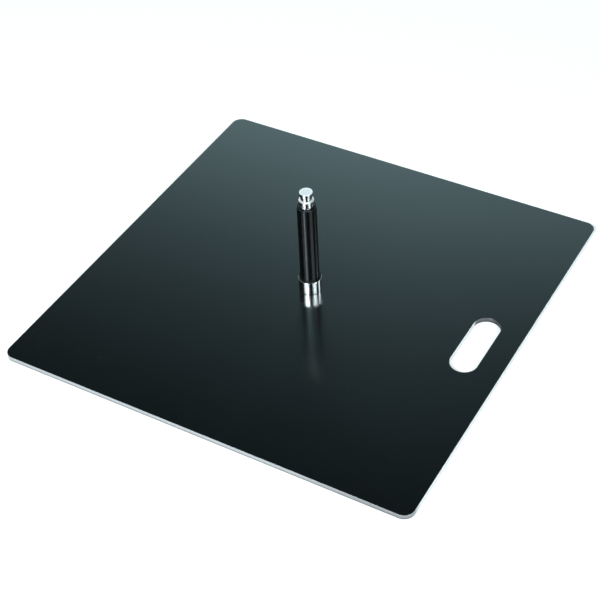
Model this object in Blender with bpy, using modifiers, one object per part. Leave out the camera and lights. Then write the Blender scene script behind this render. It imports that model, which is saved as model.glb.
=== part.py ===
"""A flag base plate: a square steel plate with a carry slot and, at its centre, a spindle on two ball bearings.

Units are metres and +Z is up. The origin lies on the spindle's axis at the plate's underside, and the carry
slot is on the +X side. The pole slips over the sleeve, stands on its foot flange and turns with the spindle.
"""

from collections import namedtuple
from math import acos, cos, pi, radians, sin, sqrt

import bmesh
import bpy
from mathutils import Matrix

# Clearances
SEAT = 0.0003  # between two pieces that touch on the real object
RUNNING_GAP = 0.0006  # under the collar, which turns just clear of the plate
BALL_PLAY = 0.00015  # between a ball and its races or pocket
SHIELD_PLAY = 0.00015

# Plate
PLATE_SIDE = 0.500
PLATE_THICKNESS = 0.006
PLATE_CORNER = 0.0125
PLATE_EDGE_BREAK = 0.0004
SLOT_LENGTH = 0.091
SLOT_WIDTH = 0.031
SLOT_MARGIN = 0.0285  # from the plate's edge to the slot

# Bearings: the spindle's two deep groove bearings, with steel shields
Bearing = namedtuple("Bearing", "bore outside width ball balls cage_wall")
LOWER_BEARING = Bearing(bore=0.008, outside=0.022, width=0.007, ball=0.00397, balls=7, cage_wall=0.0010)
UPPER_BEARING = Bearing(bore=0.008, outside=0.016, width=0.005, ball=0.0020, balls=9, cage_wall=0.0005)
LAND_REACH = 0.74  # how far a ring's land stands from the pitch circle, in ball radii
SHIELD_THICKNESS = 0.0003
SHIELD_INSET = 0.00022  # from a bearing's face to its shield
SHIELD_GROOVE = 0.0005  # how deep the shield's seat is cut into the outer ring
CAGE_RIM = 0.00045  # cage left above and below each ball

# Axle bolt: a countersunk shoulder bolt that comes up through the plate
HEAD_DIAMETER = 0.016
HEAD_RECESS = 0.0003
HEAD_RIM = 0.0003
SOCKET_ACROSS = 0.005
SOCKET_DEPTH = 0.003
THREAD_DIAMETER = 0.006
THREAD_END = 0.0015  # bolt showing above the nut
THREAD_CHAMFER = 0.0005

# Pieces stacked on the bolt
SPACER_DIAMETER = 0.0104
WASHER_THICKNESS = 0.0012
NUT_WALL = 0.0017  # from the thread to the flats
NUT_HEX_HEIGHT = 0.0044
NUT_HEIGHT = 0.006
NUT_CHAMFER = 0.0004
NUT_COLLAR_WALL = 0.0004
NUT_LIP = 0.0003
INSERT_WALL = 0.0009

# Collar: the bearing housing at the spindle's foot
COLLAR_HEIGHT = 0.0165
COLLAR_WALL = 0.0018
COLLAR_SKIRT = 0.0009  # below the circlip's groove
COLLAR_WEB = 0.0012  # between the bearing and the tube
COLLAR_CHAMFER = 0.0003
CIRCLIP_THICKNESS = 0.0010
CIRCLIP_GROOVE = 0.0006
CIRCLIP_WIDTH = 0.0016
CIRCLIP_EAR = 0.0036  # an ear's reach in from the ring's outside
CIRCLIP_EAR_HOLE = 0.0011
CIRCLIP_GAP_ANGLE = 34.0
CIRCLIP_EAR_ANGLE = 18.0

# Tube and sleeve
TUBE_SEAT_WALL = 0.00095  # round the upper bearing
TUBE_LEDGE = 0.0008  # that the upper bearing stands on
SLEEVE_LENGTH = 0.1029
SLEEVE_WALL = 0.00155
SLEEVE_FLANGE = 0.0017  # the reach of its foot flange, which the pole stands on
SLEEVE_FLANGE_THICKNESS = 0.0012
SLEEVE_LIP = 0.0012
SLEEVE_ROUND = 0.0010

# Tip: spigot, flange, neck, waist and cap, turned in one piece
SPIGOT_LENGTH = 0.011
SPIGOT_CLEARANCE = 0.0004  # between the nut or washer and the spigot's hollow
SPIGOT_HEADROOM = 0.0010  # above the bolt's end
FLANGE_THICKNESS = 0.0010
NECK_STEP = 0.00085  # from the tube's outside in to the neck
NECK_HEIGHT = 0.0086
NECK_CHAMFER = 0.0006
WAIST_DEPTH = 0.0017
WAIST_HEIGHT = 0.0069
CAP_OVERHANG = 0.00065
CAP_HEIGHT = 0.0032
CAP_CHAMFER = 0.0004
DISH_RIM = 0.0014
DISH_DEPTH = 0.00025
DISH_SLOPE = 0.0005

# How finely round shapes are divided
MERGE_DISTANCE = 0.00001
SMOOTH_ANGLE = radians(30)
CORNER_STEPS = 8
SLOT_STEPS = 16
TURNED_STEPS = 48
BEARING_STEPS = 28
RACE_STEPS = 4
ROUND_STEPS = 3
EAR_STEPS = 2
BALL_SEGMENTS = 10
BALL_RINGS = 6
POCKET_STEPS = 12
CUT_OVERRUN = 0.002  # how far a cutter stands out past what it cuts

# Radii that follow from the fits
AXLE_RADIUS = min(LOWER_BEARING.bore, UPPER_BEARING.bore) / 2 - SEAT
THREAD_RADIUS = THREAD_DIAMETER / 2
NUT_BORE_RADIUS = THREAD_RADIUS + SEAT
NUT_ACROSS = 2 * (NUT_BORE_RADIUS + NUT_WALL)
NUT_CORNER_RADIUS = NUT_ACROSS / 2 / cos(pi / 6)
COLLAR_BORE_RADIUS = LOWER_BEARING.outside / 2 + SEAT
TUBE_SEAT_RADIUS = UPPER_BEARING.outside / 2 + SEAT
TUBE_RADIUS = TUBE_SEAT_RADIUS + TUBE_SEAT_WALL
TUBE_BORE_RADIUS = TUBE_SEAT_RADIUS - TUBE_LEDGE
SLEEVE_BORE_RADIUS = TUBE_RADIUS + SEAT
SLEEVE_RADIUS = SLEEVE_BORE_RADIUS + SLEEVE_WALL
SLEEVE_FLANGE_RADIUS = SLEEVE_RADIUS + SLEEVE_FLANGE
COLLAR_RADIUS = max(COLLAR_BORE_RADIUS + COLLAR_WALL, SLEEVE_FLANGE_RADIUS + COLLAR_CHAMFER)
SPIGOT_RADIUS = TUBE_SEAT_RADIUS - SEAT
NECK_RADIUS = TUBE_RADIUS - NECK_STEP
WAIST_RADIUS = NECK_RADIUS - WAIST_DEPTH
CAP_RADIUS = WAIST_RADIUS + CAP_OVERHANG

# Heights, from the ground up
COLLAR_FOOT = PLATE_THICKNESS + RUNNING_GAP
CIRCLIP_FOOT = COLLAR_FOOT + COLLAR_SKIRT + SEAT
LOWER_BEARING_FOOT = CIRCLIP_FOOT + CIRCLIP_THICKNESS + SEAT
LOWER_BEARING_TOP = LOWER_BEARING_FOOT + LOWER_BEARING.width
TUBE_FOOT = LOWER_BEARING_TOP + SEAT + COLLAR_WEB + SEAT
SLEEVE_FOOT = COLLAR_FOOT + COLLAR_HEIGHT + SEAT
SLEEVE_TOP = SLEEVE_FOOT + SLEEVE_LENGTH
FLANGE_TOP = SLEEVE_TOP - SLEEVE_LIP - SEAT
TUBE_TOP = FLANGE_TOP - FLANGE_THICKNESS - SEAT
SPIGOT_FOOT = FLANGE_TOP - FLANGE_THICKNESS - SPIGOT_LENGTH
UPPER_BEARING_FOOT = SPIGOT_FOOT - SEAT - UPPER_BEARING.width
SHOULDER_TOP = UPPER_BEARING_FOOT + UPPER_BEARING.width - SEAT
WASHER_FOOT = UPPER_BEARING_FOOT + UPPER_BEARING.width + SEAT
NUT_FOOT = WASHER_FOOT + WASHER_THICKNESS + SEAT
BOLT_TOP = NUT_FOOT + NUT_HEIGHT + THREAD_END
NECK_TOP = SLEEVE_TOP + NECK_HEIGHT
WAIST_TOP = NECK_TOP + WAIST_HEIGHT
SPINDLE_TOP = WAIST_TOP + CAP_HEIGHT

# Finishes: colour, roughness and how metallic
BLACK_COAT = ((0.020, 0.026, 0.028), 0.30, 0.0)
CHROME = ((0.86, 0.87, 0.88), 0.12, 1.0)
BLACK_PLASTIC = ((0.012, 0.012, 0.013), 0.28, 0.0)
ZINC_STEEL = ((0.62, 0.62, 0.60), 0.35, 1.0)
BEARING_STEEL = ((0.72, 0.72, 0.73), 0.15, 1.0)
SPRING_STEEL = ((0.10, 0.10, 0.11), 0.40, 0.8)
ALUMINIUM = ((0.75, 0.76, 0.77), 0.30, 1.0)
CAGE_NYLON = ((0.55, 0.50, 0.38), 0.50, 0.0)
INSERT_NYLON = ((0.10, 0.22, 0.55), 0.45, 0.0)


def new_collection(name):
    collection = bpy.data.collections.new(name)
    bpy.context.scene.collection.children.link(collection)
    return collection


def new_object(name, data, collection):
    obj = bpy.data.objects.new(name, data)
    collection.objects.link(obj)
    return obj


def axis_empty(name, parts):
    """An empty on the spindle's axis, which the pieces of one moving group are parented to."""
    return new_object(name, None, parts)


def evaluated_mesh(obj):
    bpy.context.view_layer.update()
    return bpy.data.meshes.new_from_object(obj.evaluated_get(bpy.context.evaluated_depsgraph_get()))


def finished(obj, finish, parent, foot=0.0):
    """Applies the object's modifiers, shades it, gives it its own material and sets it at its height."""
    obj.data = evaluated_mesh(obj)
    obj.modifiers.clear()
    obj.data.name = obj.name
    obj.data.shade_smooth()
    obj.data.set_sharp_from_angle(angle=SMOOTH_ANGLE)
    colour, roughness, metallic = finish
    material = bpy.data.materials.new(obj.name)
    material.use_nodes = True
    shader = material.node_tree.nodes["Principled BSDF"]
    shader.inputs["Base Color"].default_value = (*colour, 1.0)
    shader.inputs["Roughness"].default_value = roughness
    shader.inputs["Metallic"].default_value = metallic
    obj.data.materials.clear()
    obj.data.materials.append(material)
    obj.location.z = foot
    obj.parent = parent
    return obj


def turned(name, profile, collection, steps=TURNED_STEPS):
    """A turned shape. The profile runs down its outer side, and it closes unless both its ends are on the axis."""
    edges = [(i, i + 1) for i in range(len(profile) - 1)]
    if profile[0][0] > 0:
        edges.append((len(profile) - 1, 0))
    mesh = bpy.data.meshes.new(name)
    mesh.from_pydata([(radius, 0.0, height) for radius, height in profile], edges, [])
    obj = new_object(name, mesh, collection)
    screw = obj.modifiers.new("Turn", "SCREW")
    screw.steps = screw.render_steps = steps
    screw.use_merge_vertices = True
    screw.merge_threshold = MERGE_DISTANCE
    return obj


def ring_profile(inner, outer, foot, top):
    """A plain ring's section."""
    return [(outer, top), (outer, foot), (inner, foot), (inner, top)]


def arc(centre, radius, start, end, steps):
    """Points along an arc from one angle in degrees to another, both ends included."""
    angles = [radians(start + (end - start) * i / steps) for i in range(steps + 1)]
    return [(centre[0] + radius * cos(a), centre[1] + radius * sin(a)) for a in angles]


def flat_outline(name, loops, thickness, collection):
    """A flat piece cut to its outline, as a closed mesh centred on its own mid-plane. Inner loops are its holes."""
    curve = bpy.data.curves.new(name, "CURVE")
    curve.dimensions = "2D"
    curve.fill_mode = "BOTH"
    curve.extrude = thickness / 2
    for loop in loops:
        spline = curve.splines.new("POLY")
        spline.points.add(len(loop) - 1)
        for point, (x, y) in zip(spline.points, loop):
            point.co = (x, y, 0.0, 1.0)
        spline.use_cyclic_u = True
    drawn = new_object(name + "_outline", curve, collection)
    mesh = evaluated_mesh(drawn)
    place = drawn.matrix_world.copy()
    bpy.data.objects.remove(drawn)
    bm = bmesh.new()
    bm.from_mesh(mesh)
    bmesh.ops.remove_doubles(bm, verts=bm.verts, dist=MERGE_DISTANCE)
    bm.to_mesh(mesh)
    bm.free()
    obj = new_object(name, mesh, collection)
    obj.matrix_world = place
    return obj


def cutter(obj):
    obj.hide_render = True
    obj.display_type = "WIRE"
    return obj


def boolean(obj, tool, operation="DIFFERENCE"):
    modifier = obj.modifiers.new(operation.title(), "BOOLEAN")
    modifier.operation = operation
    modifier.object = tool


def hex_prism(name, across, foot, height, collection):
    """A hexagonal cutter that stands on the axis."""
    mesh = bpy.data.meshes.new(name)
    bm = bmesh.new()
    radius = across / 2 / cos(pi / 6)
    place = Matrix.Translation((0.0, 0.0, foot + height / 2))
    bmesh.ops.create_cone(
        bm, cap_ends=True, segments=6, radius1=radius, radius2=radius, depth=height, matrix=place
    )
    bm.to_mesh(mesh)
    bm.free()
    return cutter(new_object(name, mesh, collection))


def base_plate(parts, cutters, parent):
    half, flat = PLATE_SIDE / 2, PLATE_SIDE / 2 - PLATE_CORNER
    corners = [(flat, flat), (-flat, flat), (-flat, -flat), (flat, -flat)]
    rim = []
    for i, corner in enumerate(corners):
        rim += arc(corner, PLATE_CORNER, 90 * i, 90 * (i + 1), CORNER_STEPS)
    slot_x = half - SLOT_MARGIN - SLOT_WIDTH / 2
    slot_y = (SLOT_LENGTH - SLOT_WIDTH) / 2
    slot = arc((slot_x, slot_y), SLOT_WIDTH / 2, 0, 180, SLOT_STEPS)
    slot += arc((slot_x, -slot_y), SLOT_WIDTH / 2, 180, 360, SLOT_STEPS)
    obj = flat_outline("base_plate", [rim, slot], PLATE_THICKNESS, parts)
    edge_break = obj.modifiers.new("Edge break", "BEVEL")
    edge_break.width = PLATE_EDGE_BREAK
    edge_break.segments = 1
    edge_break.limit_method = "ANGLE"
    edge_break.angle_limit = SMOOTH_ANGLE

    # The bolt's hole, countersunk from below
    middle = PLATE_THICKNESS / 2
    hole = AXLE_RADIUS + SEAT
    mouth = HEAD_DIAMETER / 2 + SEAT * sqrt(2)
    cone_foot = HEAD_RECESS + HEAD_RIM - middle
    profile = [
        (0.0, middle + CUT_OVERRUN),
        (hole, middle + CUT_OVERRUN),
        (hole, cone_foot + mouth - hole),
        (mouth, cone_foot),
        (mouth, -middle - CUT_OVERRUN),
        (0.0, -middle - CUT_OVERRUN),
    ]
    hole_cutter = cutter(turned("bolt_hole_cutter", profile, cutters))
    hole_cutter.location.z = middle
    obj.location.z = middle
    boolean(obj, hole_cutter)
    return finished(obj, BLACK_COAT, parent, middle)


def axle_bolt(parts, cutters, parent):
    head = HEAD_DIAMETER / 2
    length = BOLT_TOP - HEAD_RECESS
    shoulder = SHOULDER_TOP - HEAD_RECESS
    profile = [
        (0.0, length),
        (THREAD_RADIUS - THREAD_CHAMFER, length),
        (THREAD_RADIUS, length - THREAD_CHAMFER),
        (THREAD_RADIUS, shoulder),
        (AXLE_RADIUS, shoulder),
        (AXLE_RADIUS, HEAD_RIM + head - AXLE_RADIUS),
        (head, HEAD_RIM),
        (head, 0.0),
        (0.0, 0.0),
    ]
    obj = turned("axle_bolt", profile, parts)
    depth = CUT_OVERRUN + SOCKET_DEPTH
    socket = hex_prism("bolt_socket_cutter", SOCKET_ACROSS, -CUT_OVERRUN, depth, cutters)
    boolean(obj, socket)
    return finished(obj, ZINC_STEEL, parent, HEAD_RECESS)


def land_radii(bearing):
    """The radii of the inner and the outer ring's lands, either side of the balls."""
    pitch = (bearing.bore + bearing.outside) / 4
    reach = LAND_REACH * bearing.ball / 2
    return pitch - reach, pitch + reach


def race(bearing, side):
    """A ring's groove round the balls, seen in section: side -1 is the inner ring, from its top down, and
    side 1 the outer ring, from its foot up."""
    pitch = (bearing.bore + bearing.outside) / 4
    radius = bearing.ball / 2 + BALL_PLAY
    half = acos(LAND_REACH * bearing.ball / 2 / radius)
    middle = 0.0 if side > 0 else pi
    angles = [middle + half * (2 * i / RACE_STEPS - 1) for i in range(RACE_STEPS + 1)]
    return [(pitch + radius * cos(a), bearing.width / 2 + radius * sin(a)) for a in angles]


def ball_mesh(radius):
    mesh = bpy.data.meshes.new("ball")
    bm = bmesh.new()
    bmesh.ops.create_uvsphere(bm, u_segments=BALL_SEGMENTS, v_segments=BALL_RINGS, radius=radius)
    bm.to_mesh(mesh)
    bm.free()
    return mesh


def bearing_pieces(label, bearing, foot, parts, cutters, fixed, turning, cage_axis):
    """A shielded ball bearing's rings, shields, cage and balls."""
    bore, outside, width = bearing.bore / 2, bearing.outside / 2, bearing.width
    pitch = (bore + outside) / 2
    inner_land, outer_land = land_radii(bearing)
    shield_seat = outer_land + SHIELD_GROOVE
    seat_depth = SHIELD_INSET + SHIELD_THICKNESS + SHIELD_PLAY

    inner = [(inner_land, width), *race(bearing, -1), (inner_land, 0.0), (bore, 0.0), (bore, width)]
    obj = turned(label + "_inner_ring", inner, parts, BEARING_STEPS)
    finished(obj, BEARING_STEEL, fixed, foot)

    outer = [
        *[(outside, width), (outside, 0.0), (shield_seat, 0.0), (shield_seat, seat_depth)],
        (outer_land, seat_depth),
        *race(bearing, 1),
        *[(outer_land, width - seat_depth), (shield_seat, width - seat_depth), (shield_seat, width)],
    ]
    obj = turned(label + "_outer_ring", outer, parts, BEARING_STEPS)
    finished(obj, BEARING_STEEL, turning, foot)

    # A thin washer at each face, clipped into the outer ring
    shield = ring_profile(inner_land + SEAT, shield_seat - SHIELD_PLAY, 0.0, SHIELD_THICKNESS)
    for side, level in (("foot", SHIELD_INSET), ("top", width - SHIELD_INSET - SHIELD_THICKNESS)):
        obj = turned(f"{label}_{side}_shield", shield, parts, BEARING_STEPS)
        finished(obj, BEARING_STEEL, turning, foot + level)

    # The balls, evenly spaced on the pitch circle, and the cage's windows that hold them
    windows = bmesh.new()
    window = bearing.ball / 2 + BALL_PLAY
    for i in range(bearing.balls):
        angle = 2 * pi * i / bearing.balls
        obj = new_object(f"{label}_ball_{i + 1}", ball_mesh(bearing.ball / 2), parts)
        finished(obj, BEARING_STEEL, cage_axis)
        obj.location = (pitch * cos(angle), pitch * sin(angle), foot + width / 2)
        place = Matrix.Rotation(angle, 4, "Z") @ Matrix.Translation((pitch, 0.0, width / 2))
        bmesh.ops.create_cone(
            windows,
            cap_ends=True,
            segments=POCKET_STEPS,
            radius1=window,
            radius2=window,
            depth=3 * bearing.cage_wall,
            matrix=place @ Matrix.Rotation(pi / 2, 4, "Y"),
        )
    window_mesh = bpy.data.meshes.new(label + "_cage_cutter")
    windows.to_mesh(window_mesh)
    windows.free()
    window_cutter = cutter(new_object(label + "_cage_cutter", window_mesh, cutters))

    half, wall = window + CAGE_RIM, bearing.cage_wall / 2
    cage = ring_profile(pitch - wall, pitch + wall, width / 2 - half, width / 2 + half)
    obj = turned(label + "_cage", cage, parts, BEARING_STEPS)
    boolean(obj, window_cutter)
    finished(obj, CAGE_NYLON, cage_axis, foot)


def foot_spacer(parts, parent):
    foot = PLATE_THICKNESS + SEAT
    height = LOWER_BEARING_FOOT - SEAT - foot
    profile = ring_profile(LOWER_BEARING.bore / 2, land_radii(LOWER_BEARING)[0], 0.0, height)
    return finished(turned("foot_spacer", profile, parts, BEARING_STEPS), ZINC_STEEL, parent, foot)


def bearing_spacer(parts, parent):
    foot = LOWER_BEARING_TOP + SEAT
    height = UPPER_BEARING_FOOT - SEAT - foot
    profile = ring_profile(AXLE_RADIUS + SEAT, SPACER_DIAMETER / 2, 0.0, height)
    return finished(turned("bearing_spacer", profile, parts, BEARING_STEPS), ALUMINIUM, parent, foot)


def top_washer(parts, parent):
    profile = ring_profile(THREAD_RADIUS + SEAT, land_radii(UPPER_BEARING)[0], 0.0, WASHER_THICKNESS)
    return finished(turned("top_washer", profile, parts, BEARING_STEPS), ZINC_STEEL, parent, WASHER_FOOT)


def lock_nut(parts, cutters, parent):
    """A hexagon nut with a round collar on top, which holds a nylon ring."""
    corner, bore = NUT_CORNER_RADIUS, NUT_BORE_RADIUS
    groove = bore + INSERT_WALL + SEAT
    collar = groove + NUT_COLLAR_WALL
    mouth = groove - NUT_LIP
    nut = [
        (collar, NUT_HEIGHT),
        (collar, NUT_HEX_HEIGHT),
        (corner - NUT_CHAMFER, NUT_HEX_HEIGHT),
        (corner, NUT_HEX_HEIGHT - NUT_CHAMFER),
        (corner, NUT_CHAMFER),
        (corner - NUT_CHAMFER, 0.0),
        (bore, 0.0),
        (bore, NUT_HEX_HEIGHT),
        (groove, NUT_HEX_HEIGHT),
        (groove, NUT_HEIGHT - NUT_LIP),
        (mouth, NUT_HEIGHT - NUT_LIP),
        (mouth, NUT_HEIGHT),
    ]
    obj = turned("lock_nut", nut, parts, BEARING_STEPS)
    flats = hex_prism("nut_flats", NUT_ACROSS, -CUT_OVERRUN, NUT_HEIGHT + 2 * CUT_OVERRUN, cutters)
    boolean(obj, flats, "INTERSECT")
    finished(obj, ZINC_STEEL, parent, NUT_FOOT)

    height = NUT_HEIGHT - NUT_LIP - NUT_HEX_HEIGHT - 2 * SEAT
    ring = ring_profile(bore, bore + INSERT_WALL, 0.0, height)
    ring = turned("lock_nut_insert", ring, parts, BEARING_STEPS)
    finished(ring, INSERT_NYLON, parent, NUT_FOOT + NUT_HEX_HEIGHT + SEAT)


def collar(parts, parent):
    """The bearing housing: groove and bearing bore below, a web, and the tube's socket above."""
    shoulder = LOWER_BEARING_TOP + SEAT - COLLAR_FOOT
    web_top = shoulder + COLLAR_WEB
    groove = COLLAR_BORE_RADIUS + CIRCLIP_GROOVE
    groove_top = COLLAR_SKIRT + CIRCLIP_THICKNESS + 2 * SEAT
    socket = TUBE_RADIUS + SEAT
    profile = [
        (COLLAR_RADIUS - COLLAR_CHAMFER, COLLAR_HEIGHT),
        (COLLAR_RADIUS, COLLAR_HEIGHT - COLLAR_CHAMFER),
        (COLLAR_RADIUS, COLLAR_CHAMFER),
        (COLLAR_RADIUS - COLLAR_CHAMFER, 0.0),
        (COLLAR_BORE_RADIUS, 0.0),
        (COLLAR_BORE_RADIUS, COLLAR_SKIRT),
        (groove, COLLAR_SKIRT),
        (groove, groove_top),
        (COLLAR_BORE_RADIUS, groove_top),
        (COLLAR_BORE_RADIUS, shoulder),
        (TUBE_BORE_RADIUS, shoulder),
        (TUBE_BORE_RADIUS, web_top),
        (socket, web_top),
        (socket, COLLAR_HEIGHT),
    ]
    return finished(turned("collar", profile, parts), CHROME, parent, COLLAR_FOOT)


def collar_circlip(parts, parent):
    """An internal retaining ring, open at +X, with a hole in the ear at each end."""
    outer = COLLAR_BORE_RADIUS + CIRCLIP_GROOVE - SEAT
    inner = outer - CIRCLIP_WIDTH
    ear = outer - CIRCLIP_EAR
    start, end = CIRCLIP_GAP_ANGLE / 2, 360 - CIRCLIP_GAP_ANGLE / 2
    rim = arc((0, 0), outer, start, end, BEARING_STEPS)
    rim += arc((0, 0), ear, end, end - CIRCLIP_EAR_ANGLE, EAR_STEPS)
    rim += arc((0, 0), inner, end - CIRCLIP_EAR_ANGLE, start + CIRCLIP_EAR_ANGLE, BEARING_STEPS)
    rim += arc((0, 0), ear, start + CIRCLIP_EAR_ANGLE, start, EAR_STEPS)
    loops = [rim]
    for middle in (start + CIRCLIP_EAR_ANGLE / 2, end - CIRCLIP_EAR_ANGLE / 2):
        (centre,) = arc((0, 0), (ear + inner) / 2 + CIRCLIP_EAR_HOLE / 2, middle, middle, 1)[:1]
        loops.append(arc(centre, CIRCLIP_EAR_HOLE / 2, 0, 360, POCKET_STEPS)[:-1])
    obj = flat_outline("collar_circlip", loops, CIRCLIP_THICKNESS, parts)
    return finished(obj, SPRING_STEEL, parent, CIRCLIP_FOOT + CIRCLIP_THICKNESS / 2)


def spindle_tube(parts, parent):
    """The tube in the collar's socket, bored out from the top for the upper bearing."""
    height = TUBE_TOP - TUBE_FOOT
    ledge = UPPER_BEARING_FOOT - SEAT - TUBE_FOOT
    profile = [
        (TUBE_RADIUS, height),
        (TUBE_RADIUS, 0.0),
        (TUBE_BORE_RADIUS, 0.0),
        (TUBE_BORE_RADIUS, ledge),
        (TUBE_SEAT_RADIUS, ledge),
        (TUBE_SEAT_RADIUS, height),
    ]
    return finished(turned("spindle_tube", profile, parts), ZINC_STEEL, parent, TUBE_FOOT)


def pole_sleeve(parts, parent):
    """The sleeve round the tube: a flange at its foot, a rounded top edge and a lip over the tube's end."""
    lip_bore = NECK_RADIUS + SEAT
    centre = (SLEEVE_RADIUS - SLEEVE_ROUND, SLEEVE_LENGTH - SLEEVE_ROUND)
    profile = [
        *arc(centre, SLEEVE_ROUND, 90, 0, ROUND_STEPS),
        (SLEEVE_RADIUS, SLEEVE_FLANGE_THICKNESS),
        (SLEEVE_FLANGE_RADIUS, SLEEVE_FLANGE_THICKNESS),
        (SLEEVE_FLANGE_RADIUS, 0.0),
        (SLEEVE_BORE_RADIUS, 0.0),
        (SLEEVE_BORE_RADIUS, SLEEVE_LENGTH - SLEEVE_LIP),
        (lip_bore, SLEEVE_LENGTH - SLEEVE_LIP),
        (lip_bore, SLEEVE_LENGTH),
    ]
    return finished(turned("pole_sleeve", profile, parts), BLACK_PLASTIC, parent, SLEEVE_FOOT)


def spindle_tip(parts, parent):
    """The spigot in the tube, the flange on its end, and the neck, waist and cap that show above the sleeve."""
    flange_top, neck_top = FLANGE_TOP - SPIGOT_FOOT, NECK_TOP - SPIGOT_FOOT
    cap_foot, top = WAIST_TOP - SPIGOT_FOOT, SPINDLE_TOP - SPIGOT_FOOT
    hollow = max(NUT_CORNER_RADIUS, land_radii(UPPER_BEARING)[0]) + SPIGOT_CLEARANCE
    hollow_top = BOLT_TOP + SPIGOT_HEADROOM - SPIGOT_FOOT
    dish = CAP_RADIUS - DISH_RIM
    profile = [
        (0.0, top - DISH_DEPTH),
        (dish - DISH_SLOPE, top - DISH_DEPTH),
        (dish, top),
        (CAP_RADIUS - CAP_CHAMFER, top),
        (CAP_RADIUS, top - CAP_CHAMFER),
        (CAP_RADIUS, cap_foot),
        (WAIST_RADIUS, cap_foot),
        (WAIST_RADIUS, neck_top),
        (NECK_RADIUS - NECK_CHAMFER, neck_top),
        (NECK_RADIUS, neck_top - NECK_CHAMFER),
        (NECK_RADIUS, flange_top),
        (TUBE_RADIUS, flange_top),
        (TUBE_RADIUS, flange_top - FLANGE_THICKNESS),
        (SPIGOT_RADIUS, flange_top - FLANGE_THICKNESS),
        (SPIGOT_RADIUS, 0.0),
        (hollow, 0.0),
        (hollow, hollow_top),
        (0.0, hollow_top),
    ]
    return finished(turned("spindle_tip", profile, parts), CHROME, parent, SPIGOT_FOOT)


def main():
    for obj in list(bpy.data.objects):
        bpy.data.objects.remove(obj)
    parts = new_collection("flag_base_plate")
    cutters = new_collection("cutters")
    base = axis_empty("base_axis", parts)
    spindle = axis_empty("spindle_axis", parts)
    lower_cage = axis_empty("lower_cage_axis", parts)
    upper_cage = axis_empty("upper_cage_axis", parts)

    base_plate(parts, cutters, base)
    axle_bolt(parts, cutters, base)
    foot_spacer(parts, base)
    bearing_spacer(parts, base)
    top_washer(parts, base)
    lock_nut(parts, cutters, base)
    bearing_pieces(
        "lower_bearing", LOWER_BEARING, LOWER_BEARING_FOOT, parts, cutters, base, spindle, lower_cage
    )
    bearing_pieces(
        "upper_bearing", UPPER_BEARING, UPPER_BEARING_FOOT, parts, cutters, base, spindle, upper_cage
    )
    collar(parts, spindle)
    collar_circlip(parts, spindle)
    spindle_tube(parts, spindle)
    pole_sleeve(parts, spindle)
    spindle_tip(parts, spindle)


main()
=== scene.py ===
"""The looks of a flag base plate: a black-coated steel plate with bare edges and a carry slot, and a spindle
with a chrome collar, a black sleeve and a chrome tip. Metres, +Z up, the spindle's axis at the origin."""

from math import acos, cos, pi, radians, sin, tan

import bmesh
import bpy
from mathutils import Matrix, Vector


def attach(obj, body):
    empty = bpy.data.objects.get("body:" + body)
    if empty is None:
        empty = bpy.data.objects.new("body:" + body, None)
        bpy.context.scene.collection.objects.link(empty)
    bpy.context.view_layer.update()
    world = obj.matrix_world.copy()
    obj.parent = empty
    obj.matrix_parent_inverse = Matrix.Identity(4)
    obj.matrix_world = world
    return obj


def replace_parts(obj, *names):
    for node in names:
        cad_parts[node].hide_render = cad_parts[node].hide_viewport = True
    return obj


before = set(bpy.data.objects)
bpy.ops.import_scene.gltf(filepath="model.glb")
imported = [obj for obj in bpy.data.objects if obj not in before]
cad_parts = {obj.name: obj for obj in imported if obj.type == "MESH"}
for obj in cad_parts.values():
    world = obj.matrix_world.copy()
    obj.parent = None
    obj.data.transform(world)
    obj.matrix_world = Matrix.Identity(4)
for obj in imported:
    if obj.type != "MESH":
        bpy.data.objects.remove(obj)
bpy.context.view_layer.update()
scene = bpy.context.scene
MM = 0.001


# Sizes in millimetres, heights from the plate's underside

THICKNESS = 6.0
CORNER_RADIUS = 12.5
CORNER_REACH = 237.5  # from the plate's middle to the centre of a corner
PLATE_HALF = CORNER_REACH + CORNER_RADIUS
SLOT_RADIUS = 15.5
SLOT_REACH = 30.0  # from the slot's middle to the centre of an end
SLOT_MIDDLE = 206.0
CAP_RADIUS = 7.35
CAP_ROUNDING = 0.4
CAP_TOP = 145.0
DISH_RADIUS = 5.45
DISH_FLOOR = 144.75
NECK_RADIUS = 8.4
NECK_ROUNDING = 0.6
NECK_SHOULDER = 134.9


# Node maths


class Socket:
    """An output socket. Python's operators on it add Math nodes."""

    def __init__(self, finish, output):
        self.finish = finish
        self.output = output

    def math(self, operation, *values):
        return self.finish.node("ShaderNodeMath", {"operation": operation}, dict(enumerate(values)))

    def exp(self):
        return self.math("EXPONENT", self)

    def __abs__(self):
        return self.math("ABSOLUTE", self)

    def __add__(self, other):
        return self.math("ADD", self, other)

    def __radd__(self, other):
        return self.math("ADD", other, self)

    def __sub__(self, other):
        return self.math("SUBTRACT", self, other)

    def __rsub__(self, other):
        return self.math("SUBTRACT", other, self)

    def __mul__(self, other):
        return self.math("MULTIPLY", self, other)

    def __rmul__(self, other):
        return self.math("MULTIPLY", other, self)

    def __pow__(self, other):
        return self.math("POWER", self, other)

    def __gt__(self, other):
        return self.math("GREATER_THAN", self, other)

    def __lt__(self, other):
        return self.math("LESS_THAN", self, other)

    def minimum(self, other):
        return self.math("MINIMUM", self, other)

    def maximum(self, other):
        return self.math("MAXIMUM", self, other)

    def within(self, low, high):
        """1 between two values, 0 outside them."""
        return (self < high) * (self > low)

    def ramp(self, start, end):
        """0 at start, 1 at end, smooth between them and held outside them."""
        settings = {"interpolation_type": "SMOOTHSTEP", "clamp": True}
        inputs = {"Value": self, "From Min": start, "From Max": end}
        return self.finish.node("ShaderNodeMapRange", settings, inputs)


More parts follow.
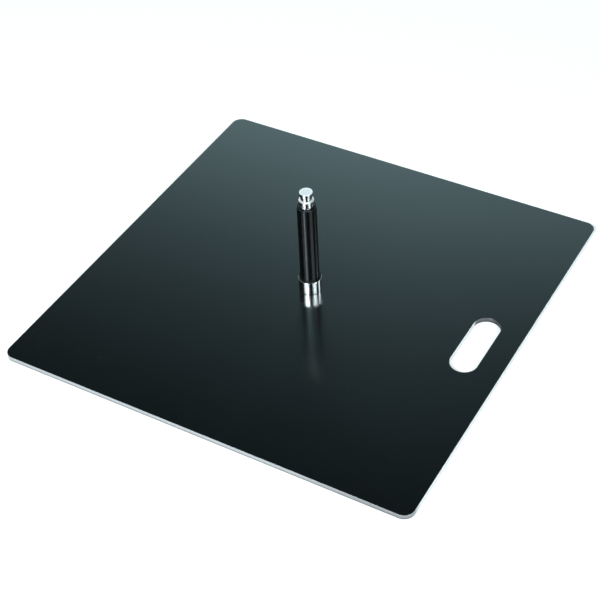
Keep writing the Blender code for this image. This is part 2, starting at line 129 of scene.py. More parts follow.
class Finish:
    """A material: a Principled shader with uniform values on its own sockets, and nodes for what varies."""

    def __init__(self, name, colour, roughness, metallic=0.0, **uniform):
        self.material = bpy.data.materials.new(name)
        self.material.use_nodes = True
        self.tree = self.material.node_tree
        self.shader = self.tree.nodes["Principled BSDF"]
        values = {"Base Color": (*colour, 1.0), "Roughness": roughness, "Metallic": metallic}
        values.update({key.replace("_", " "): value for key, value in uniform.items()})
        for socket, value in values.items():
            self.shader.inputs[socket].default_value = value
        coordinates = self.tree.nodes.new("ShaderNodeTexCoord")
        self.place = Socket(self, coordinates.outputs["Object"])
        self.x, self.y, self.z = self.split(self.place)

    def node(self, kind, settings=None, inputs=None, output=0):
        """Adds a node: its settings first, then its sockets' values or links. Returns one of its outputs."""
        made = self.tree.nodes.new(kind)
        for key, value in (settings or {}).items():
            setattr(made, key, value)
        for key, value in (inputs or {}).items():
            if isinstance(value, Socket):
                self.tree.links.new(value.output, made.inputs[key])
            else:
                made.inputs[key].default_value = value
        return Socket(self, made.outputs[output])

    def split(self, vector):
        made = self.tree.nodes.new("ShaderNodeSeparateXYZ")
        self.tree.links.new(vector.output, made.inputs[0])
        return [Socket(self, output) for output in made.outputs]

    def stretched(self, x, y, z):
        """Object coordinates, scaled along each axis."""
        return self.node("ShaderNodeVectorMath", {"operation": "MULTIPLY"}, {0: self.place, 1: (x, y, z)})

    def noise(self, scale, detail=2.0, roughness=0.5, place=None):
        inputs = {"Vector": place or self.place, "Scale": scale, "Detail": detail, "Roughness": roughness}
        return self.node("ShaderNodeTexNoise", {}, inputs)

    def mix(self, factor, low, high):
        """A colour between two colours."""
        wide = [value if isinstance(value, Socket) else (*value, 1.0) for value in (low, high)]
        return self.node("ShaderNodeMix", {"data_type": "RGBA"}, {0: factor, 6: wide[0], 7: wide[1]}, 2)

    def specks(self, scale, size, share):
        """1 on small round specks, one in each of a share of the cells of a random pattern."""
        inputs = {"Vector": self.place, "Scale": scale, "Randomness": 1.0}
        distance = self.node("ShaderNodeTexVoronoi", {}, inputs, "Distance")
        tone = self.node("ShaderNodeTexVoronoi", {}, inputs, "Color")
        return (1.0 - distance.ramp(size * 0.5, size)) * (self.split(tone)[0] < share)

    def bump(self, height, distance):
        """A normal from a height pattern, in which 1 is a distance."""
        return self.node("ShaderNodeBump", {}, {"Height": height, "Distance": distance, "Strength": 1.0})

    def drive(self, **sockets):
        """Links what varies to the shader."""
        for key, value in sockets.items():
            self.tree.links.new(value.output, self.shader.inputs[key.replace("_", " ")])
        return self


# Finishes


def black_coat():
    """Satin black coat on the plate's two faces, and bare steel on all its cut edges."""
    made = Finish("black coat", (0.003, 0.005, 0.006), 0.14, IOR=1.8, Specular_Tint=(0.95, 1.0, 1.0, 1.0))
    skin = 0.03
    edge = made.z.within(skin * MM, (THICKNESS - skin) * MM)
    cloud = made.noise(9.0, 4.0, 0.6)
    peel = made.noise(900.0, 2.0)
    haze = made.noise(60.0, 3.0)
    coat = made.mix(cloud, (0.0010, 0.0018, 0.0022), (0.0020, 0.0034, 0.0040))

    # A little dust, and a few specks of it that are larger
    dust = made.specks(420.0, 0.10, 0.30) * 0.5 + made.specks(45.0, 0.035, 0.30)
    coat = made.mix(dust.minimum(1.0) * 0.8, coat, (0.10, 0.11, 0.11))

    # Down the edge: lighter and smoother above, darker and rougher below
    grain = made.noise(1.0, 3.0, 0.6, made.stretched(260.0, 260.0, 1500.0))
    lower_band = 1.0 - made.z.ramp(1.2 * MM, 3.2 * MM)
    steel = made.mix(lower_band * 0.7 + grain * 0.3, (0.57, 0.59, 0.61), (0.23, 0.24, 0.25))

    # Painted light: the side by the slot and the slot's inner long wall are painted brighter, where more
    # light falls on them
    painted_light_side = made.y.ramp((8.0 - PLATE_HALF) * MM, (28.0 - PLATE_HALF) * MM)
    painted_light_side = (made.x > (PLATE_HALF - 2.0) * MM) * painted_light_side
    wall_place = SLOT_MIDDLE - SLOT_RADIUS
    painted_light_wall = made.x.within((wall_place - 2.5) * MM, (wall_place + 2.5) * MM)
    painted_light_wall = painted_light_wall * (abs(made.y) < (SLOT_REACH + 2.0) * MM)
    steel = made.mix(painted_light_side.maximum(painted_light_wall) * (0.8 + grain * 0.2), steel, (0.78, 0.80, 0.81))

    # Painted shade: the front side is painted darker towards its corner
    painted_shade_front = made.x.ramp(60.0 * MM, 240.0 * MM) * (made.y < (14.0 - PLATE_HALF) * MM) * (1.0 - painted_light_side)
    steel = made.mix(painted_shade_front * 0.55, steel, (0.17, 0.175, 0.175))

    # Painted shade: the far end of the slot is painted dark, more on the plate's outer side, where shade
    # falls in the slot
    painted_shade_far_end = made.y.ramp(SLOT_REACH * MM, (SLOT_REACH + 6.0) * MM) * (made.y < 2.0 * SLOT_REACH * MM)
    painted_shade_far_end = painted_shade_far_end * made.x.within((SLOT_MIDDLE - 26.0) * MM, (SLOT_MIDDLE + 29.0) * MM)
    shade_share = 0.7 + 0.25 * made.x.ramp((SLOT_MIDDLE - 3.0) * MM, (SLOT_MIDDLE + 10.0) * MM) + grain * 0.2
    steel = made.mix((painted_shade_far_end * shade_share).minimum(1.0), steel, (0.04, 0.045, 0.05))

    colour = made.mix(edge, coat, steel)
    satin = 0.165 + cloud * 0.02 + haze * 0.015 + dust * 0.2
    roughness = (1.0 - edge) * satin + edge * (0.42 + lower_band * 0.12)
    height = (1.0 - edge) * peel * 0.01 + edge * grain
    return made.drive(
        Base_Color=colour,
        Roughness=roughness,
        Metallic=edge * 0.9,
        Normal=made.bump(height, 0.04 * MM),
    )


def chrome():
    """Polished chrome, with fine turning marks and a trace of handling. The cap's top, with its shallow dish,
    and the neck's shoulder are satin, as the lathe left them."""
    made = Finish("chrome", (0.84, 0.86, 0.87), 0.05, 1.0)
    reach = (made.x * made.x + made.y * made.y) ** 0.5
    cap_edge, shoulder_edge = CAP_RADIUS - CAP_ROUNDING, NECK_RADIUS - NECK_ROUNDING
    top = 1.0 - reach.ramp((cap_edge - 0.05) * MM, (cap_edge + 0.05) * MM)
    top = (made.z > (DISH_FLOOR - 0.05) * MM) * top
    shoulder = 1.0 - reach.ramp((shoulder_edge - 0.05) * MM, (shoulder_edge + 0.05) * MM)
    shoulder = (abs(made.z - NECK_SHOULDER * MM) < 0.02 * MM) * shoulder
    faced = top + shoulder
    smudge = made.noise(120.0, 4.0, 0.6)
    turning = made.noise(1.0, 2.0, 0.5, made.stretched(20.0, 20.0, 9000.0))
    inputs = {"W": reach * 4000.0, "Scale": 1.0, "Detail": 2.0}
    rings = made.node("ShaderNodeTexNoise", {"noise_dimensions": "1D"}, inputs)
    colour = made.mix(smudge, (0.80, 0.82, 0.83), (0.87, 0.89, 0.90))
    # Painted light: the land round the dish is painted brighter than the dish's floor
    painted_bright_land = top * reach.ramp((DISH_RADIUS - 0.05) * MM, (DISH_RADIUS + 0.25) * MM)
    colour = made.mix(painted_bright_land, colour, (0.96, 0.97, 0.98))
    polished = 0.035 + smudge * 0.04 + turning * 0.02
    roughness = (1.0 - faced) * polished + faced * (0.44 + rings * 0.12)
    height = (1.0 - faced) * turning + faced * rings * 2.0
    return made.drive(
        Base_Color=colour,
        Roughness=roughness,
        Metallic=1.0 - faced * 0.5,
        Normal=made.bump(height, 0.002 * MM),
    )


def black_sleeve():
    """Glossy black plastic, rubbed along its length by poles."""
    made = Finish("black sleeve", (0.002, 0.002, 0.0025), 0.10, IOR=1.36)
    rub = made.noise(1.0, 3.0, 0.6, made.stretched(900.0, 900.0, 14.0))
    cloud = made.noise(70.0, 3.0)
    colour = made.mix(rub, (0.0012, 0.0013, 0.0015), (0.0035, 0.0038, 0.0042))
    roughness = 0.07 + rub * 0.05 + cloud * 0.03
    return made.drive(Base_Color=colour, Roughness=roughness, Normal=made.bump(rub, 0.003 * MM))


def metal(name, dark, light, roughness, scale):
    """A plain metal with a fine mottled grain."""
    made = Finish(name, light, roughness, 1.0)
    grain = made.noise(scale, 4.0, 0.6)
    fine = made.noise(scale * 6, 2.0)
    return made.drive(
        Base_Color=made.mix(grain, dark, light),
        Roughness=roughness * (0.75 + grain * 0.5),
        Normal=made.bump(fine, 0.01 * MM),
    )


def nylon(name, dark, light):
    """Moulded nylon, faintly cloudy, with a fine matt skin."""
    made = Finish(name, light, 0.45, Subsurface_Weight=0.1, Subsurface_Scale=0.5 * MM)
    cloud = made.noise(400.0, 3.0)
    fine = made.noise(2500.0, 2.0)
    return made.drive(
        Base_Color=made.mix(cloud, dark, light),
        Roughness=0.38 + cloud * 0.16,
        Normal=made.bump(fine, 0.01 * MM),
    )


FINISHES = {
    "black_coat": black_coat(),
    "chrome": chrome(),
    "black_sleeve": black_sleeve(),
    "zinc_steel": metal("zinc steel", (0.50, 0.51, 0.52), (0.70, 0.70, 0.69), 0.34, 300.0),
    "bearing_steel": metal("bearing steel", (0.62, 0.62, 0.63), (0.74, 0.74, 0.75), 0.14, 500.0),
    "spring_steel": metal("spring steel", (0.06, 0.06, 0.065), (0.14, 0.14, 0.15), 0.38, 500.0),
    "aluminium": metal("aluminium", (0.66, 0.67, 0.68), (0.78, 0.79, 0.80), 0.30, 400.0),
    "cage_nylon": nylon("cage nylon", (0.46, 0.41, 0.30), (0.60, 0.55, 0.42)),
    "insert_nylon": nylon("insert nylon", (0.07, 0.17, 0.45), (0.12, 0.26, 0.62)),
}


# Making a piece

SHARP = radians(30)
FLAT_WEIGHT = 100
WELD = 0.002
ROUNDING_STEPS = 4
TURN_STEPS = 128
SMALL_TURN_STEPS = 96
HEXAGON = 6


def piece(name, bm, slot, body, node):
    """Makes the mesh a piece that rides on a body, in one of the finishes, in place of a CAD node."""
    bmesh.ops.recalc_face_normals(bm, faces=bm.faces)
    mesh = bpy.data.meshes.new(name)
    bm.to_mesh(mesh)
    bm.free()
    mesh.shade_smooth()
    mesh.set_sharp_from_angle(angle=SHARP)
    made = bpy.data.objects.new(name, mesh)
    scene.collection.objects.link(made)
    made.data.materials.append(FINISHES[slot].material)
    normals = made.modifiers.new("Flat faces stay flat", "WEIGHTED_NORMAL")
    normals.keep_sharp = True
    normals.weight = FLAT_WEIGHT
    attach(made, body)
    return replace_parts(made, node)


def profile(bm, corners, closed=False):
    """A line through (radius, height, rounding) corners in millimetres, whose corners are then rounded."""
    points = [bm.verts.new((radius * MM, 0.0, height * MM)) for radius, height, rounding in corners]
    pairs = list(zip(points, points[1:])) + ([(points[-1], points[0])] if closed else [])
    for pair in pairs:
        bm.edges.new(pair)
    for point, (radius, height, rounding) in zip(points, corners):
        if rounding:
            bmesh.ops.bevel(
                bm,
                geom=[point],
                offset=rounding * MM,
                offset_type="OFFSET",
                segments=ROUNDING_STEPS,
                profile=0.5,
                affect="VERTICES",
                material=-1,
            )


def turned(bm, corners, steps=TURN_STEPS, closed=False):
    """Spins a profile once round the axis."""
    profile(bm, corners, closed)
    bmesh.ops.spin(
        bm,
        geom=list(bm.verts) + list(bm.edges),
        cent=(0.0, 0.0, 0.0),
        axis=(0.0, 0.0, 1.0),
        angle=2 * pi,
        steps=steps,
        use_merge=True,
    )
    bmesh.ops.remove_doubles(bm, verts=bm.verts, dist=WELD * MM)


def edges_of(loop):
    """The edges between a loop's points."""
    return list({edge for vert in loop for edge in vert.link_edges})


def outline(bm, radius, reach, height, quarter_steps, middle=0.0):
    """A circle whose quarters are moved apart by reach: a rounded square, a slot or, with no reach, a circle.
    Its middle may be moved along X."""
    loop = bmesh.ops.create_circle(bm, segments=4 * quarter_steps, radius=radius * MM)["verts"]
    half_step = Matrix.Rotation(pi / quarter_steps / 4, 3, "Z")
    bmesh.ops.rotate(bm, verts=loop, cent=(0, 0, 0), matrix=half_step)
    for vert in loop:
        vert.co.x += (reach[0] if vert.co.x > 0 else -reach[0]) * MM + middle * MM
        vert.co.y += (reach[1] if vert.co.y > 0 else -reach[1]) * MM
        vert.co.z = height * MM
    return edges_of(loop)


def wall(bm, loops):
    """Faces between each outline and the next."""
    for lower, upper in zip(loops, loops[1:]):
        bmesh.ops.bridge_loops(bm, edges=lower + upper)
    return loops[0], loops[-1]


def cut(bm, tool, operation="DIFFERENCE"):
    """Cuts a tool's shape out of the mesh, or keeps only what both share."""
    solids = []
    for source in (bm, tool):
        bmesh.ops.recalc_face_normals(source, faces=source.faces)
        mesh = bpy.data.meshes.new("cut")
        source.to_mesh(mesh)
        source.free()
        solids.append(bpy.data.objects.new("cut", mesh))
        scene.collection.objects.link(solids[-1])
    modifier = solids[0].modifiers.new("Cut", "BOOLEAN")
    modifier.object = solids[1]
    modifier.operation = operation
    bpy.context.view_layer.update()
    made = bmesh.new()
    made.from_object(solids[0], bpy.context.evaluated_depsgraph_get())
    for solid in solids:
        bpy.data.objects.remove(solid)
    return made


# The plate

EDGE_BREAK = 0.4
EDGE_STEPS = 4
CORNER_STEPS = 24
HOLE_STEPS = 16
HOLE_RADIUS = 4.0
COUNTERSINK_RADIUS = 8.42
COUNTERSINK_LIP = 0.6


def broken_edge():
    """(setback, height) pairs up a wall whose two edges are broken to a quarter circle."""
    angles = [pi / 2 * i / EDGE_STEPS for i in range(EDGE_STEPS + 1)]
    steps = [(EDGE_BREAK * (1 - cos(angle)), EDGE_BREAK * (1 - sin(angle))) for angle in angles]
    return list(reversed(steps)) + [(setback, THICKNESS - drop) for setback, drop in steps]


def base_plate():
    """The rounded square, its carry slot and the countersunk hole for the bolt."""
    bm = bmesh.new()
    rim, slot, hole = [], [], []
    for setback, height in broken_edge():
        rim.append(outline(bm, CORNER_RADIUS - setback, (CORNER_REACH, CORNER_REACH), height, CORNER_STEPS))
    for setback, height in broken_edge():
        slot.append(outline(bm, SLOT_RADIUS + setback, (0.0, SLOT_REACH), height, CORNER_STEPS, SLOT_MIDDLE))
    cone_top = COUNTERSINK_LIP + COUNTERSINK_RADIUS - HOLE_RADIUS
    for height in (0.0, COUNTERSINK_LIP):
        hole.append(outline(bm, COUNTERSINK_RADIUS, (0.0, 0.0), height, HOLE_STEPS))
    for height in (cone_top, THICKNESS):
        hole.append(outline(bm, HOLE_RADIUS, (0.0, 0.0), height, HOLE_STEPS))
    ends = [wall(bm, loops) for loops in (rim, slot, hole)]
    for side in (0, 1):
        edges = [edge for end in ends for edge in end[side]]
        bmesh.ops.triangle_fill(bm, use_beauty=True, use_dissolve=False, edges=edges, normal=(0, 0, 1))
    return piece("plate", bm, "black_coat", "base", "base_plate")


# The spindle's outside, as (radius, height, rounding) corners


def collar():
    """The chrome ring at the spindle's foot, which houses the lower bearing."""
    bm = bmesh.new()
    turned(
        bm,
        [
            # The outside
            (9.55, 23.1, 0), (13.1, 23.1, 0.15), (13.1, 6.6, 0.3), (11.3, 6.6, 0),
            # The circlip's groove, and the bearing's bore
            (11.3, 7.5, 0), (11.9, 7.5, 0), (11.9, 9.1, 0), (11.3, 9.1, 0), (11.3, 16.4, 0),
            # The lip over the bearing, and the socket that the tube stands in
            (7.5, 16.4, 0), (7.5, 17.6, 0), (9.55, 17.6, 0),
        ],
        closed=True,
    )
    return piece("bearing_collar", bm, "chrome", "spindle", "collar")


def sleeve():
    """The black tube that the pole slips over."""
    bm = bmesh.new()
    turned(
        bm,
        [
            # The mouth, and the outside down to the flange
            (8.7, 126.3, 0.2), (11.1, 126.3, 1.0), (11.1, 24.6, 0.3),
            # The foot flange that the pole stands on
            (12.8, 24.6, 0.15), (12.8, 23.4, 0.1),
            # The bore, and the lip over the tube's end
            (9.55, 23.4, 0), (9.55, 125.1, 0), (8.7, 125.1, 0),
        ],
        closed=True,
    )
    return piece("sleeve", bm, "black_sleeve", "spindle", "pole_sleeve")


def tip():
    """The chrome end: cap, waist and neck, with a spigot inside the tube."""
    bm = bmesh.new()
    turned(
        bm,
        [
            # The dish in the cap's top, and the cap
            (0.0, DISH_FLOOR, 0), (DISH_RADIUS, DISH_FLOOR, 0.2), (5.95, CAP_TOP, 0.1),
            (CAP_RADIUS, CAP_TOP, CAP_ROUNDING), (CAP_RADIUS, 141.8, 0.15),
            # The waist and the neck
            (6.7, 141.8, 0.1), (6.7, NECK_SHOULDER, 0.15), (NECK_RADIUS, NECK_SHOULDER, NECK_ROUNDING),
            # The flange that rests on the tube's end
            (NECK_RADIUS, 124.8, 0), (9.25, 124.8, 0), (9.25, 123.8, 0), (8.0, 123.8, 0),
            # The spigot, hollow for the bolt's end
            (8.0, 112.8, 0.2), (6.17, 112.8, 0.2), (6.17, 122.8, 0.3), (0.0, 122.8, 0),
        ],
    )
    return piece("tip", bm, "chrome", "spindle", "spindle_tip")


# The bolt, the tube, the nut and the plain rings

AXLE_BORE = 4.0  # of all that sits on the bolt's shoulder
THREAD_BORE = 3.3
SOCKET_CORNER = 2.887  # of a hexagon for a 5 mm key
NUT_CORNER = 5.774  # of a hexagon 10 mm across its flats
NUT_MIDDLE = 117.3
FLATS_HEIGHT = 10.0  # past both ends of the nut
RING_ROUNDING = 0.1


def axle_bolt():
    """The countersunk bolt: its head's rim and cone, shoulder, threaded end and hexagon socket."""
    bm = bmesh.new()
    turned(
        bm,
        [
            # The head
            (7.9, 0.3, 0), (8.0, 0.4, 0), (8.0, 0.6, 0.08), (3.7, 4.9, 0.2),
            # The shoulder and the threaded end
            (3.7, 112.2, 0.15), (3.0, 112.2, 0.1), (3.0, 121.3, 0), (2.5, 121.8, 0), (0.0, 121.8, 0),
        ],
        SMALL_TURN_STEPS,
    )
    face = [edge for edge in bm.edges if edge.is_boundary]
    socket = []
    for radius, height in ((3.15, 0.3), (SOCKET_CORNER, 0.5), (SOCKET_CORNER, 3.3)):
        loop = bmesh.ops.create_circle(bm, segments=HEXAGON, radius=radius * MM)["verts"]
        bmesh.ops.translate(bm, verts=loop, vec=(0.0, 0.0, height * MM))
        socket.append(edges_of(loop))
    mouth, floor = wall(bm, socket)
    bmesh.ops.triangle_fill(bm, use_beauty=True, use_dissolve=False, edges=face + mouth, normal=(0, 0, 1))
    bmesh.ops.contextual_create(bm, geom=floor)
    return piece("bolt", bm, "zinc_steel", "base", "axle_bolt")


def tube():
    """The steel tube under the sleeve, bored out from its top for the upper bearing and the tip's spigot."""
    bm = bmesh.new()
    turned(
        bm,
        [
            (9.25, 123.5, 0.2), (9.25, 17.9, 0.3), (7.5, 17.9, 0.2), (7.5, 107.2, 0.1), (8.3, 107.2, 0),
            (8.3, 123.5, 0.2),
        ],
        closed=True,
    )
    return piece("tube", bm, "zinc_steel", "spindle", "spindle_tube")


def nut():
    """The hexagon nut, whose corners are turned off, with a round collar that holds its nylon ring."""
    bm = bmesh.new()
    turned(
        bm,
        [
            # The round collar, and the hexagon's two chamfers
            (4.9, 120.3, 0.15), (4.9, 118.7, 0), (5.374, 118.7, 0), (6.1, 117.974, 0), (6.1, 115.026, 0),
            (5.374, 114.3, 0),
            # The thread's bore, the nylon ring's groove, and the lip over it
            (3.5, 114.3, 0), (THREAD_BORE, 114.5, 0), (THREAD_BORE, 118.7, 0),
            (4.5, 118.7, 0), (4.5, 120.0, 0),
            (4.2, 120.0, 0), (4.2, 120.3, 0),
        ],
        SMALL_TURN_STEPS,
        closed=True,
    )
    half_step = Matrix.Rotation(pi / SMALL_TURN_STEPS, 3, "Z")
    bmesh.ops.rotate(bm, verts=bm.verts, cent=(0.0, 0.0, 0.0), matrix=half_step)
    flats = bmesh.new()
    bmesh.ops.create_cone(
        flats,
        cap_ends=True,
        segments=HEXAGON,
        radius1=NUT_CORNER * MM,
        radius2=NUT_CORNER * MM,
        depth=FLATS_HEIGHT * MM,
        matrix=Matrix.Translation((0.0, 0.0, NUT_MIDDLE * MM)),
    )
    return piece("nut", cut(bm, flats, "INTERSECT"), "zinc_steel", "base", "lock_nut")


def ring(name, node, slot, body, inner, outer, foot, top, rounding=RING_ROUNDING):
    """A plain ring with rounded edges."""
    bm = bmesh.new()
    corners = [(outer, top), (outer, foot), (inner, foot), (inner, top)]
    turned(bm, [(*corner, rounding) for corner in corners], SMALL_TURN_STEPS, closed=True)
    return piece(name, bm, slot, body, node)


# The bearings

LAND_REACH = 0.74  # from the pitch circle to a ring's land, in ball radii
BALL_PLAY = 0.15
SHIELD = 0.3
SHIELD_INSET = 0.22
SHIELD_GAP = 0.3
SHIELD_ROUNDING = 0.08
SEAT_DEPTH = 0.5
BORE_ROUNDING = 0.25
OUTSIDE_ROUNDING = 0.3
LAND_ROUNDING = 0.05
SEAT_ROUNDING = 0.03
CAGE_EDGE = 0.45  # between the cage's windows and its two ends
WINDOW_STEPS = 32
RACE_STEPS = 8  # from the middle of a groove to each of its edges


def race(pitch, middle, ball, side):
    """Corners along a ring's groove for the balls: side -1 is the inner ring's, from its top down, and side 1
    the outer ring's, from its foot up."""
    groove = ball + BALL_PLAY
    half = acos(LAND_REACH * ball / groove)
    steps = range(-RACE_STEPS, RACE_STEPS + 1)
    angles = [(0.0 if side > 0 else pi) + half * step / RACE_STEPS for step in steps]
    return [(pitch + groove * cos(angle), middle + groove * sin(angle), 0) for angle in angles]


def bearing(label, foot, outside, width, ball, balls, cage_wall):
    """A shielded ball bearing: its rings, shields, balls and the cage with a window for each ball."""
    pitch, middle, top = (AXLE_BORE + outside) / 2, foot + width / 2, foot + width
    inner_land, outer_land = pitch - LAND_REACH * ball, pitch + LAND_REACH * ball
    seat, depth = outer_land + SEAT_DEPTH, SHIELD_INSET + SHIELD + BALL_PLAY
    cage, node = label + "_cage", label + "_bearing_"

    bm = bmesh.new()
    inner_ring = [
        (inner_land, top, LAND_ROUNDING),
        *race(pitch, middle, ball, -1),
        (inner_land, foot, LAND_ROUNDING),
        (AXLE_BORE, foot, BORE_ROUNDING),
        (AXLE_BORE, top, BORE_ROUNDING),
    ]
    turned(bm, inner_ring, closed=True)
    piece(label + "_inner_ring", bm, "bearing_steel", "base", node + "inner_ring")

    bm = bmesh.new()
    outer_ring = [
        (outside, top, OUTSIDE_ROUNDING),
        (outside, foot, OUTSIDE_ROUNDING),
        (seat, foot, LAND_ROUNDING),
        (seat, foot + depth, 0),
        (outer_land, foot + depth, SEAT_ROUNDING),
        *race(pitch, middle, ball, 1),
        (outer_land, top - depth, SEAT_ROUNDING),
        (seat, top - depth, 0),
        (seat, top, LAND_ROUNDING),
    ]
    turned(bm, outer_ring, closed=True)
    piece(label + "_outer_ring", bm, "bearing_steel", "spindle", node + "outer_ring")

    for side, level in (("foot", foot + SHIELD_INSET), ("top", top - SHIELD_INSET - SHIELD)):
        ring(
            f"{label}_{side}_shield",
            f"{node}{side}_shield",
            "bearing_steel",
            "spindle",
            inner=inner_land + SHIELD_GAP,
            outer=seat - BALL_PLAY,
            foot=level,
            top=level + SHIELD,
            rounding=SHIELD_ROUNDING,
        )

    windows = bmesh.new()
    pocket = ball + BALL_PLAY
    for i in range(balls):
        turn = Matrix.Rotation(2 * pi * i / balls, 4, "Z")
        place = turn @ Matrix.Translation((pitch * MM, 0.0, middle * MM))
        bm = bmesh.new()
        bmesh.ops.create_icosphere(bm, subdivisions=4, radius=ball * MM, matrix=place)
        piece(f"{label}_ball_{i + 1}", bm, "bearing_steel", cage, f"{node}ball_{i + 1}")
        outward = place @ Matrix.Rotation(pi / 2, 4, "Y") @ Matrix.Rotation(pi / WINDOW_STEPS, 4, "Z")
        bmesh.ops.create_cone(
            windows,
            cap_ends=True,
            segments=WINDOW_STEPS,
            radius1=pocket * MM,
            radius2=pocket * MM,
            depth=3 * cage_wall * MM,
            matrix=outward,
        )

    bm = bmesh.new()
    half, wall_half = pocket + CAGE_EDGE, cage_wall / 2
    corners = [(1, 1), (1, -1), (-1, -1), (-1, 1)]
    corners = [(pitch + x * wall_half, middle + z * half, RING_ROUNDING) for x, z in corners]
    turned(bm, corners, SMALL_TURN_STEPS, closed=True)
    piece(label + "_ball_cage", cut(bm, windows), "cage_nylon", cage, node + "cage")


# All the pieces

plate_piece = base_plate()
axle_bolt()
ring("plate_spacer", "foot_spacer", "zinc_steel", "base", AXLE_BORE, outer=6.031, foot=6.3, top=8.8)
ring("long_spacer", "bearing_spacer", "aluminium", "base", AXLE_BORE, outer=5.2, foot=16.4, top=107.2)
ring("washer", "top_washer", "zinc_steel", "base", THREAD_BORE, outer=5.26, foot=112.8, top=114.0)
ring("nut_ring", "lock_nut_insert", "insert_nylon", "base", THREAD_BORE, outer=4.2, foot=119.0, top=119.7)
nut()
tube()
bearing("lower", foot=9.1, outside=11.0, width=7.0, ball=1.985, balls=7, cage_wall=1.0)
bearing("upper", foot=107.5, outside=8.0, width=5.0, ball=1.0, balls=9, cage_wall=0.5)
collar_piece = collar()
sleeve_piece = sleeve()
tip_piece = tip()

# The circlip keeps its CAD shape
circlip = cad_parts["collar_circlip"]
circlip.data.materials.clear()
circlip.data.materials.append(FINISHES["spring_steel"].material)


# Camera

IMAGE_SIDE = 600
SENSOR = 36.0
LENS_PIXELS = 1452.519
AZIMUTH, ELEVATION, ROLL = radians(31.7213), radians(42.3997), radians(-3.2436)
TARGET = Vector((-0.00036, -0.02413, 0.006))
DISTANCE = 1.6479


def facing(azimuth, elevation):
    """The unit vector at an azimuth, from -Y round towards +X, and an elevation."""
    return Vector((sin(azimuth) * cos(elevation), -cos(azimuth) * cos(elevation), sin(elevation)))


back = facing(AZIMUTH, ELEVATION)
level = Vector((cos(AZIMUTH), sin(AZIMUTH), 0.0))
upward = back.cross(level)
right = level * cos(ROLL) + upward * sin(ROLL)
up = upward * cos(ROLL) - level * sin(ROLL)
camera = bpy.data.objects.new("camera", bpy.data.cameras.new("camera"))
camera.data.lens = LENS_PIXELS * SENSOR / IMAGE_SIDE
camera.data.sensor_width = SENSOR
turn = Matrix((right, up, back)).transposed().to_4x4()
camera.matrix_world = Matrix.Translation(TARGET + back * DISTANCE) @ turn
scene.collection.objects.link(camera)
scene.camera = camera


# Floor, lamps and world

PALE = (0.82, 0.82, 0.82)
DIM = (0.45, 0.45, 0.45)
WHITE = (1.0, 1.0, 1.0)
BLACK = (0.0, 0.0, 0.0)
WORLD = (0.012, 0.012, 0.0125)
LAMP_COLOUR = (0.90, 1.0, 1.04)
TEAL_LAMP = (0.74, 1.16, 1.24)
LAMP_DISTANCE = 5.0
TOP_LIGHT_DISTANCE = 3.0
FLOOR_GAP = 0.2
ROOM_REACH = 12000.0
ROOM_HEIGHT = 8000.0
ROOM_SWEEP = 2000.0


def studio():
    """A plain pale floor that sweeps up into a wall all round, and shows white further off."""
    bm = bmesh.new()
    corners = [(0.0, 0.0, 0), (ROOM_REACH, 0.0, ROOM_SWEEP), (ROOM_REACH, ROOM_HEIGHT, 0)]
    turned(bm, corners, SMALL_TURN_STEPS)
    mesh = bpy.data.meshes.new("studio")
    bm.to_mesh(mesh)
    bm.free()
    mesh.flip_normals()
    mesh.shade_smooth()
    made = bpy.data.objects.new("studio", mesh)
    made.location.z = -FLOOR_GAP * MM
    scene.collection.objects.link(made)
    paint = Finish("studio paint", PALE, 0.9, Specular_IOR_Level=0.0, Emission_Strength=1.0)
    kinds = ("Camera", "Glossy", "Transmission")
    seen = [paint.node("ShaderNodeLightPath", output=f"Is {kind} Ray") for kind in kinds]
    away = (paint.x * paint.x + paint.y * paint.y) ** 0.5
    glow = paint.mix(away.ramp(1.5, 7.0), DIM, WHITE)
    paint.drive(Emission_Color=paint.mix(seen[0].maximum(seen[1]).maximum(seen[2]), BLACK, glow))
    made.data.materials.append(paint.material)


def lamp(name, toward, distance, wide, tall, radiance, only=(), never=(), colour=LAMP_COLOUR):
    """A rectangular lamp that faces the spindle. At a radiance of 1 its face looks white. It may light only
    some pieces, or never light some."""
    data = bpy.data.lights.new(name, "AREA")
    data.shape = "RECTANGLE"
    data.size, data.size_y = wide, tall
    data.energy = radiance * pi * wide * tall
    data.color = colour
    made = bpy.data.objects.new(name, data)
    turn = toward.to_track_quat("Z", "Y").to_matrix().to_4x4()
    made.matrix_world = Matrix.Translation(toward * distance) @ turn
    scene.collection.objects.link(made)
    if only or never:
        lit = bpy.data.collections.new(name + " lit")
        for shown_piece in (*only, *never):
            lit.objects.link(shown_piece)
        for entry in lit.collection_objects:
            entry.light_linking.link_state = "INCLUDE" if only else "EXCLUDE"
        made.light_linking.receiver_collection = lit


def softbox(name, start, end, low, high, radiance, **flags):
    """A lamp far off, between two azimuths to the right of the camera's and two elevations, in degrees."""
    toward = facing(AZIMUTH + radians((start + end) / 2), radians((low + high) / 2))
    wide = 2 * LAMP_DISTANCE * tan(radians(end - start) / 2)
    tall = 2 * LAMP_DISTANCE * tan(radians(high - low) / 2)
    lamp(name, toward, LAMP_DISTANCE, wide, tall, radiance, **flags)


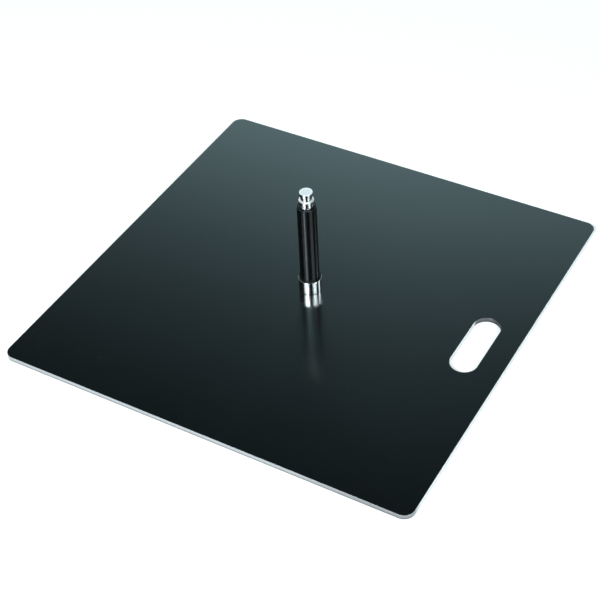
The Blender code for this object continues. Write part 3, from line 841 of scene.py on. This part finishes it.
def rear_card():
    """A faintly teal card, 4.0 x 3.1 m, in the upright plane 2 m behind the plate. It is brightest low down
    and to the left, and the plate mirrors its fall-off."""
    bm = bmesh.new()
    bmesh.ops.create_grid(bm, x_segments=1, y_segments=1, size=1.0)
    bmesh.ops.scale(bm, vec=(2.0, 1.55, 1.0), verts=bm.verts)
    place = Matrix.Translation((-1.2, 2.0, 1.85)) @ Matrix.Rotation(pi / 2, 4, "X")
    bmesh.ops.transform(bm, matrix=place, verts=bm.verts)
    mesh = bpy.data.meshes.new("rear card")
    bm.to_mesh(mesh)
    bm.free()
    made = bpy.data.objects.new("rear card", mesh)
    made.visible_camera = False
    scene.collection.objects.link(made)
    paint = Finish("rear card", BLACK, 0.9, Specular_IOR_Level=0.0, Emission_Strength=1.0)
    rise = (paint.z - 1.45).maximum(0.0) * -2.05
    fall = 0.38 + 0.37 * paint.z.ramp(1.5, 2.1)
    brightness = rise.exp() * 1.4 * (1.0 - fall * paint.x.ramp(-1.1, 0.0))
    paint.drive(Emission_Color=paint.mix(brightness * 0.5, BLACK, (1.36, 2.0, 2.16)))
    made.data.materials.append(paint.material)


studio()

# Lamps that the plate mirrors onto the chrome and the sleeve
softbox("key", -41, -30, 36.5, 42.5, 80, never=[tip_piece])
softbox("key spill", -61, -20, 40.5, 44.0, 24, never=[sleeve_piece, tip_piece])
softbox("collar fill", 33, 57, 41.0, 43.5, 27, never=[tip_piece])
softbox("sleeve fill", 20, 38, 39.4, 40.8, 22, never=[tip_piece])
softbox("tip fill", 32, 55, 36.5, 39.4, 22, never=[tip_piece])

# Lamps that light one piece each
softbox("side", 91, 104, 42.5, 44.5, 58, only=[plate_piece])
softbox("collar side", 91, 104, 36.5, 43.5, 24, only=[collar_piece])
softbox("sleeve sheen", -46, 0, 42.5, 44.0, 22, only=[sleeve_piece], colour=TEAL_LAMP)
softbox("sleeve glow", -100, 45, 44.0, 47.5, 28, only=[sleeve_piece], colour=TEAL_LAMP)
softbox("tip glow", -60, 60, 41.0, 46.0, 2.4, only=[tip_piece])

# Light on the satin faces of the tip
behind = facing(AZIMUTH + pi, radians(60.0))
lamp("top light", behind, TOP_LIGHT_DISTANCE, 5.0, 5.0, 0.75, only=[tip_piece])
before = facing(AZIMUTH, radians(70.0))
lamp("front light", before, TOP_LIGHT_DISTANCE, 3.5, 2.0, 2.7, only=[tip_piece])

rear_card()
world = bpy.data.worlds.new("studio")
world.use_nodes = True
world.node_tree.nodes["Background"].inputs["Color"].default_value = (*WORLD, 1.0)
scene.world = world
scene.view_settings.view_transform = "Standard"
